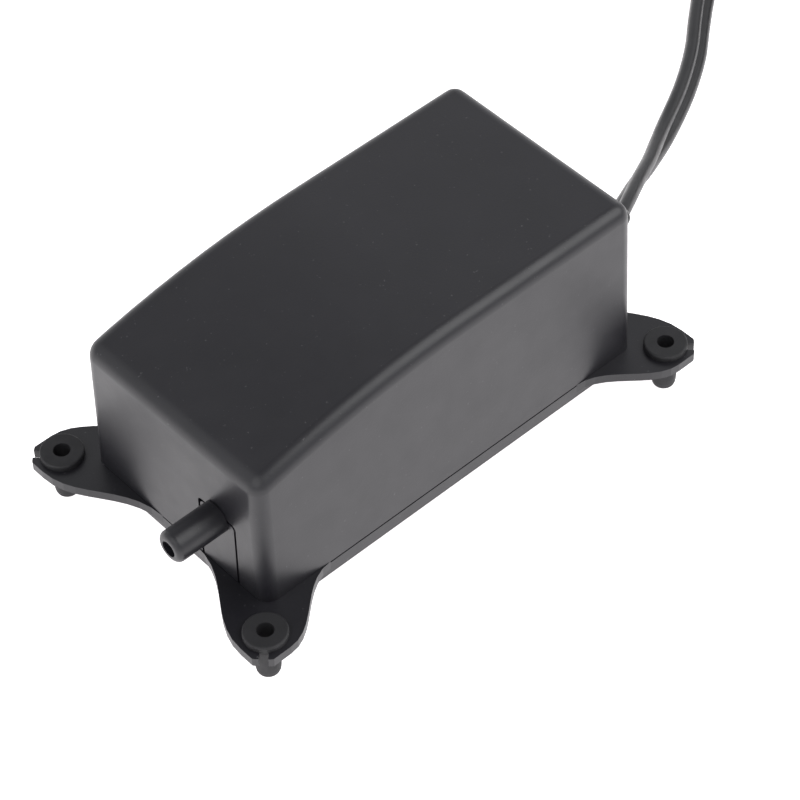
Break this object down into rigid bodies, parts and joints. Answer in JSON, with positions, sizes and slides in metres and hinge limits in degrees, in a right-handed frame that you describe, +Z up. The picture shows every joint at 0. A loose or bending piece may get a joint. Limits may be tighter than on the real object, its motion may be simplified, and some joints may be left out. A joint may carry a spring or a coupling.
{
  "type": "aquarium air pump",
  "caption": "Small aquarium air pump: black box casing on slotted ears with rubber feet, outlet nozzle, electromagnet, swinging magnet arm, rubber diaphragm, flap valves and mains lead.",
  "frame": {"origin": "centre of the four foot holes, on the plane that the feet stand on", "axes": "+Z up, +Y along the casing from the nozzle end to the end where the mains lead leaves, +X to the side that the nozzle is offset to"},
  "size_m": [0.0796, 0.2219, 0.0357],
  "materials": {
    "casing_plastic": "satin black ABS with a very fine grain",
    "inner_plastic": "matt black moulded plastic",
    "rubber_feet": "soft matt black rubber",
    "cord_pvc": "soft black PVC, slightly shiny",
    "white_plastic": "off-white moulded nylon",
    "bobbin_plastic": "cream moulded nylon",
    "filter_felt": "grey-green pressed felt",
    "gasket_rubber": "red-brown fibre gasket",
    "flap_rubber": "thin red-brown silicone",
    "diaphragm_rubber": "smooth black moulded rubber",
    "zinc_steel": "zinc-plated screws",
    "ferrite": "grey sintered magnet",
    "silicon_steel": "stacked laminations, varnished",
    "copper_wire": "enamelled copper wire",
    "tape": "yellow polyester tape",
    "terminal_brass": "tinned brass pins",
    "lead_insulation": "black sheath with blue cores",
    "sleeve": "shrunk sleeve",
    "tie": "woven hook-and-loop strap",
    "plug_brass": "nickel-brass blades"
  },
  "bodies": {
    "root": {"cover": "casing_plastic", "base": "casing_plastic", "foot_front_left": "rubber_feet", "foot_front_right": "rubber_feet", "foot_rear_left": "rubber_feet", "foot_rear_right": "rubber_feet", "cover_screws": "zinc_steel", "inlet_filter": "filter_felt", "filter_cap": "inner_plastic", "pump_head": "casing_plastic", "head_gasket": "gasket_rubber", "valve_plate": "white_plastic", "diaphragm": "diaphragm_rubber", "diaphragm_clamp": "white_plastic", "head_screws": "zinc_steel", "pivot_bracket": "inner_plastic", "bracket_screw": "zinc_steel", "pivot_bushes": "rubber_feet", "pivot_pin": "zinc_steel", "laminated_core": "silicon_steel", "core_screws": "zinc_steel", "coil_bobbin": "bobbin_plastic", "coil_winding": "copper_wire", "coil_tape": "tape", "coil_terminals": "terminal_brass", "inner_leads": "lead_insulation", "splice_sleeves": "sleeve", "cord_clamp": "white_plastic", "clamp_screws": "zinc_steel", "strain_relief": "cord_pvc", "mains_cord": "cord_pvc", "cord_coil": "cord_pvc", "coil_tie": "tie", "plug_lead": "cord_pvc", "plug_body": "cord_pvc", "plug_blades": "plug_brass"},
    "arm": {"swing_arm": "white_plastic", "arm_magnet": "ferrite", "diaphragm_washers": "zinc_steel", "diaphragm_screw": "zinc_steel"},
    "inlet_flap": {"inlet_flap": "flap_rubber"},
    "outlet_flap": {"outlet_flap": "flap_rubber"}
  },
  "joints": [
    {"name": "arm_swing", "type": "hinge", "parent": "root", "child": "arm", "pos_m": [0, -0.0289, 0.0193], "axis": [0, 0, 1], "range_deg": [-2.2, 2.2], "stiffness_Nm_per_rad": 0.3, "deforming": ["diaphragm"]},
    {"name": "inlet_valve", "type": "hinge", "parent": "root", "child": "inlet_flap", "pos_m": [0.00598, -0.0148, 0.0214], "axis": [0, 1, 0], "range_deg": [0, 9], "stiffness_Nm_per_rad": 0.000005},
    {"name": "outlet_valve", "type": "hinge", "parent": "root", "child": "outlet_flap", "pos_m": [0.00742, -0.0232, 0.0214], "axis": [0, -1, 0], "range_deg": [0, 20], "stiffness_Nm_per_rad": 0.000005}
  ]
}
